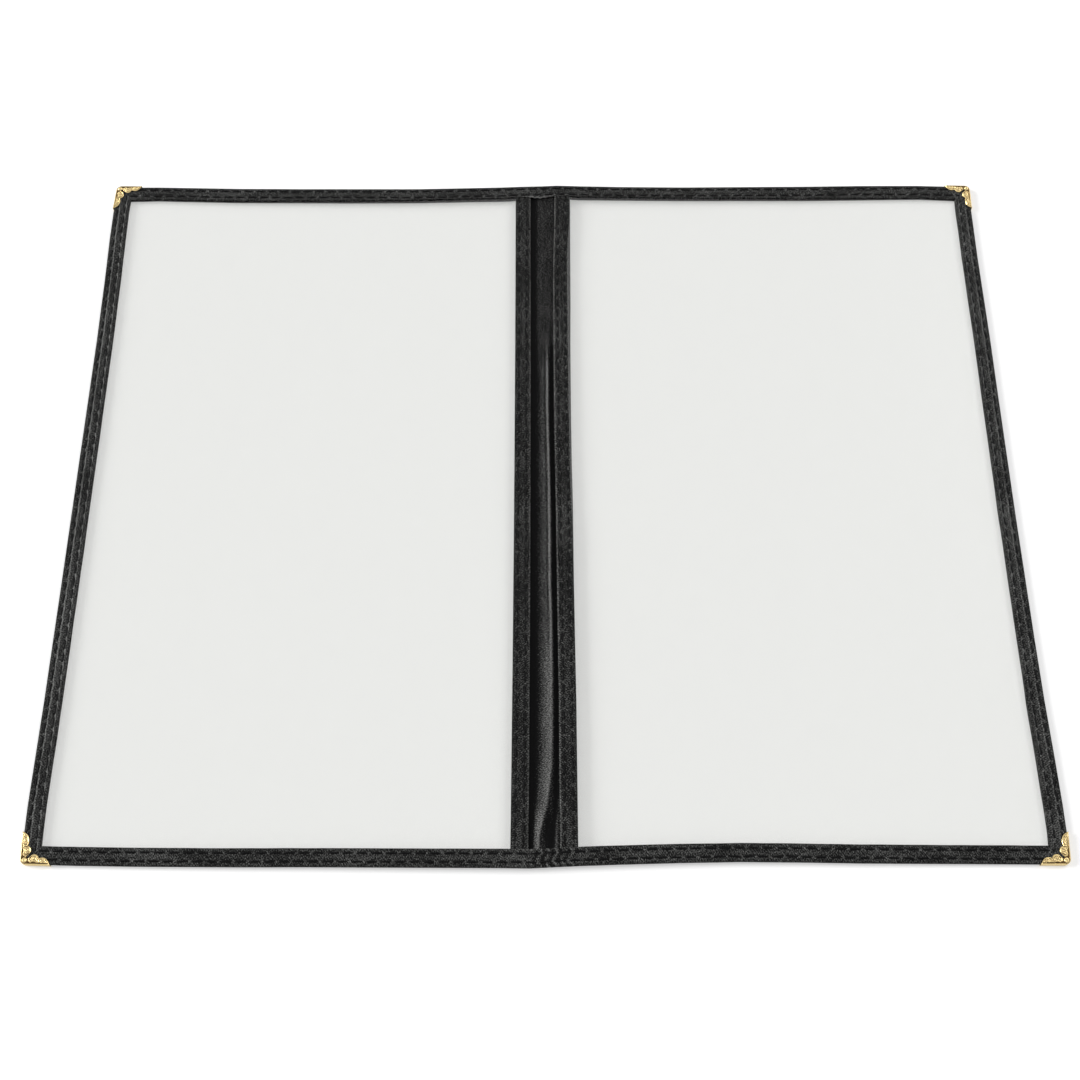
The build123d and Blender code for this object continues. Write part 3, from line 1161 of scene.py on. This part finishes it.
def stamped_relief(u, v, from_outline, from_edge, grooved):
    """Height of the stamped ornament on a guard's top, as a share of its full relief."""
    ornament = max(
        scroll(u, v, (11.0, 1.95), 1.4, 2.1, 1),
        scroll(u, v, (6.5, 2.9), 1.7, 2.4, -1),
        leaf(u, v, (8.7, 0.5), 0.7, 2.5, 90, 62, 4),
        leaf(u, v, (12.9, 0.5), 0.4, 1.7, 110, 62, 3),
        leaf(u, v, (4.2, 0.9), 0.6, 2.5, 62, 48, 3),
    )
    inset = 0.15 + 0.8 * grooved
    ornament *= ease(0.5, 0.9, from_outline) * ease(inset, inset + 0.35, from_edge)
    rim = max(1.15 * hump(from_outline - 0.36, 0.26), 0.8 * fade(0.5, 0.7, from_edge))
    groove = grooved * hump(from_edge - 0.7, 0.19)
    boss_reach = math.hypot(u - BOSS[0], v - BOSS[1])
    boss = 1.25 * fade(0.85, 1.25, boss_reach) - 1.1 * fade(0.2, 0.55, boss_reach)
    moat = hump(boss_reach - 1.45, 0.2)
    near_boss = fade(1.25, 1.6, boss_reach)
    groove *= fade(guard_arm - 3.0, guard_arm - 1.6, max(u, v))
    height = max(ornament, rim) - 1.1 * groove * (1 - near_boss) - 0.6 * moat
    return height * (1 - near_boss) + boss * near_boss


# How much each arm's lobe is drawn in or out, and the rows of a guard's mesh over its top, wall and foot
ARM_SHIFTS = {1: -0.75, -1: 0.6}
GUARD_TOP_ROWS = 26
GUARD_WALL_ROWS = 8
GUARD_FOOT_ROWS = 7


def guard_mesh(side, end):
    """A folded guard with a stamped top, a wall and a plain foot, as two arms that meet on the diagonal."""
    top_z = edge_top_z + size_mm("brass_thickness") + 0.1
    height = size_mm("relief")
    last_row = GUARD_TOP_ROWS + GUARD_WALL_ROWS + GUARD_FOOT_ROWS

    def place(column, row):
        arm = 1 if column >= ARM_COLUMNS else -1
        inner, edge, inward = arm_column(abs(column - ARM_COLUMNS))
        depth = (inner - edge).length
        rounding = min(EDGE_ROUND, 0.45 * depth)
        rim_point = edge + inward * rounding
        raised = 0.5
        if row <= GUARD_TOP_ROWS:
            spot = inner.lerp(rim_point, row / GUARD_TOP_ROWS)
            from_outline = (spot - inner).length
            from_edge = (spot - rim_point).length + rounding
            # Only the bottom guards' arms along the bottom edge get the deep groove: partly a real groove,
            # partly a painted dark reflection line
            grooved = DEEP_GROOVE if arm > 0 and end < 0 else FAINT_GROOVE
            raised = stamped_relief(spot.x, spot.y, from_outline, from_edge, grooved)
            z = top_z + height * raised - 0.12 * hump(from_outline, 0.16)
        elif row <= GUARD_TOP_ROWS + GUARD_WALL_ROWS:
            share = (row - GUARD_TOP_ROWS) / GUARD_WALL_ROWS
            quarter = min(1.0, share * 3)
            lower = max(0.0, share * 3 - 2)
            swing = math.sin(quarter * math.pi / 2) if lower == 0 else math.cos(lower * math.pi / 2)
            spot = rim_point - inward * (rounding * swing)
            straight = max(0.0, min(1.0, share * 3 - 1))
            z = top_z - rounding * (1 - math.cos(quarter * math.pi / 2)) - (top_z - 2 * rounding) * straight
            z -= rounding * math.sin(lower * math.pi / 2)
            # The rounded wall is painted bright: a painted highlight, not relief
            raised = 0.85
        else:
            share = (row - GUARD_TOP_ROWS - GUARD_WALL_ROWS) / GUARD_FOOT_ROWS
            spot = rim_point.lerp(inner, share)
            z = 0.0
            raised = 0.45
        spot.x += ARM_SHIFTS[arm] * ease(NOTCH[0], guard_arm, spot.x)
        u, v = (spot.x, spot.y) if arm > 0 else (spot.y, spot.x)
        x = side * (guard_high.x - u)
        y = end * (guard_high.y - v)
        return Vector((x, y, z)), Vector((x, y, raised))

    bm = grid_mesh(2 * ARM_COLUMNS, last_row, place)
    raised = bm.verts.layers.float.new("relief")
    flat = bm.verts.layers.float_vector["flat_place"]
    for vert in bm.verts:
        vert[raised] = vert[flat].z
    bmesh.ops.remove_doubles(bm, verts=bm.verts, dist=0.002)
    return bm


class MENUCOVER_OT_brass_corners(bpy.types.Operator):
    """Fold a stamped brass guard over each outer corner"""

    bl_idname = "menucover.brass_corners"
    bl_label = "Brass corners"

    def execute(self, context):
        for side_name, side in SIDES.items():
            for end_name, end in ENDS.items():
                finish_piece(
                    guard_mesh(side, end), f"{side_name}_{end_name}_brass_corner", "brass",
                    f"{end_name}_corner_guard", side_name, sizes().brass_thickness, 1,
                )
        return {"FINISHED"}


# Stage

# Camera: place in metres, tilt in degrees, lens in millimetres
CAMERA_PLACE = (-0.00247, -0.34933, 0.68633)
CAMERA_TILT = 25.2
CAMERA_LENS = 51.2

# Lamps: compass direction, height above the floor, strength and spread
LAMPS = {"left_softbox": (-80, 23, 3.0, 28), "right_softbox": (50, 38, 0.9, 34)}

# What the floor adds to its light where it is looked at, and the sky's strength where it isn't
FLOOR_GLOW = 0.36
SKY_LIGHT = 0.45

# Half the floor's side and how far it lies under the cover, in metres
FLOOR_REACH = 6
FLOOR_GAP = 0.00005


def looked_at(tree):
    """1 for what is looked at, also mirrored or through vinyl, and 0 for what only lights other things."""
    path = add_node(tree, "LightPath").outputs
    seen = maths(tree, "MAXIMUM", path["Is Camera Ray"], path["Is Transmission Ray"])
    return maths(tree, "MAXIMUM", seen, path["Is Glossy Ray"])


def floor_material():
    """Pale floor that takes shadows, and looks white to the eye and through vinyl."""
    material, tree, output = new_material("pale_floor")
    lift = maths(tree, "MULTIPLY", looked_at(tree), FLOOR_GLOW)
    matt = add_node(tree, "BsdfDiffuse", Color=(*colours().floor, 1))
    glow = add_node(tree, "Emission", Color=(1, 1, 1, 1), Strength=lift)
    both = add_node(tree, "AddShader", n0=matt.outputs["BSDF"], n1=glow.outputs["Emission"])
    tree.links.new(both.outputs["Shader"], output.inputs["Surface"])
    return material


def studio_world():
    """Even studio light, with a white backdrop for what looks straight at it."""
    world = bpy.data.worlds.new("studio")
    world.use_nodes = True
    tree = world.node_tree
    tree.nodes.clear()
    output = tree.nodes.new("ShaderNodeOutputWorld")
    strength = ranged(tree, looked_at(tree), SKY_LIGHT, 1.0)
    sky = add_node(tree, "Background", Color=(1, 1, 1, 1), Strength=strength)
    tree.links.new(sky.outputs["Background"], output.inputs["Surface"])
    bpy.context.scene.world = world


def add_sun(name, azimuth, elevation, strength, spread):
    """A broad soft lamp far away, in a compass direction and at a height above the floor, in degrees."""
    light = bpy.data.lights.new(name, "SUN")
    light.energy = strength
    light.angle = math.radians(spread)
    turn = math.radians(azimuth)
    rise = math.radians(elevation)
    towards = Vector((math.sin(turn) * math.cos(rise), math.cos(turn) * math.cos(rise), math.sin(rise)))
    add_object(name, light).rotation_euler = towards.to_track_quat("Z", "Y").to_euler()


class MENUCOVER_OT_stage(bpy.types.Operator):
    """Set the floor, the soft lamps and the camera"""

    bl_idname = "menucover.stage"
    bl_label = "Stage"

    def execute(self, context):
        bm = bmesh.new()
        bmesh.ops.create_grid(bm, x_segments=1, y_segments=1, size=FLOOR_REACH)
        bmesh.ops.translate(bm, vec=(0, 0, -FLOOR_GAP), verts=bm.verts)
        floor = add_object("floor", finished_mesh(bm, "floor", floor_material()))
        studio_world()
        for name, setting in LAMPS.items():
            add_sun(name, *setting)
        camera = add_object("camera", bpy.data.cameras.new("camera"))
        camera.location = CAMERA_PLACE
        camera.rotation_euler = (math.radians(CAMERA_TILT), 0, 0)
        camera.data.lens = CAMERA_LENS
        camera.data.clip_start = 0.01
        context.scene.camera = camera
        context.scene.view_settings.view_transform = "Standard"
        return {"FINISHED"}


STEPS = (
    MENUCOVER_OT_stage,
    MENUCOVER_OT_clear_sheets,
    MENUCOVER_OT_spine_layers,
    MENUCOVER_OT_side_tapes,
    MENUCOVER_OT_end_tapes,
    MENUCOVER_OT_pocket_tapes,
    MENUCOVER_OT_seams,
    MENUCOVER_OT_brass_corners,
)


class MENUCOVER_PT_panel(bpy.types.Panel):
    """Lists the cover's pieces, sizes and colours"""

    bl_label = "Menu Cover"
    bl_idname = "MENUCOVER_PT_panel"
    bl_space_type = "VIEW_3D"
    bl_region_type = "UI"
    bl_category = "Menu Cover"

    def draw(self, context):
        for step in STEPS:
            self.layout.operator(step.bl_idname)
        for group in (context.scene.menu_cover_sizes, context.scene.menu_cover_colours):
            for name in group.__annotations__:
                self.layout.prop(group, name)


CLASSES = (MENUCOVER_PG_sizes, MENUCOVER_PG_colours, *STEPS, MENUCOVER_PT_panel)


def register():
    """Adds the classes and their properties."""
    for item in CLASSES:
        bpy.utils.register_class(item)
    bpy.types.Scene.menu_cover_sizes = bpy.props.PointerProperty(type=MENUCOVER_PG_sizes)
    bpy.types.Scene.menu_cover_colours = bpy.props.PointerProperty(type=MENUCOVER_PG_colours)


def unregister():
    """Removes the classes and their properties."""
    del bpy.types.Scene.menu_cover_colours
    del bpy.types.Scene.menu_cover_sizes
    for item in reversed(CLASSES):
        bpy.utils.unregister_class(item)


def main():
    """Builds the whole cover."""
    register()
    for step in STEPS:
        area, name = step.bl_idname.split(".")
        getattr(getattr(bpy.ops, area), name)()


if __name__ == "__main__":
    main()
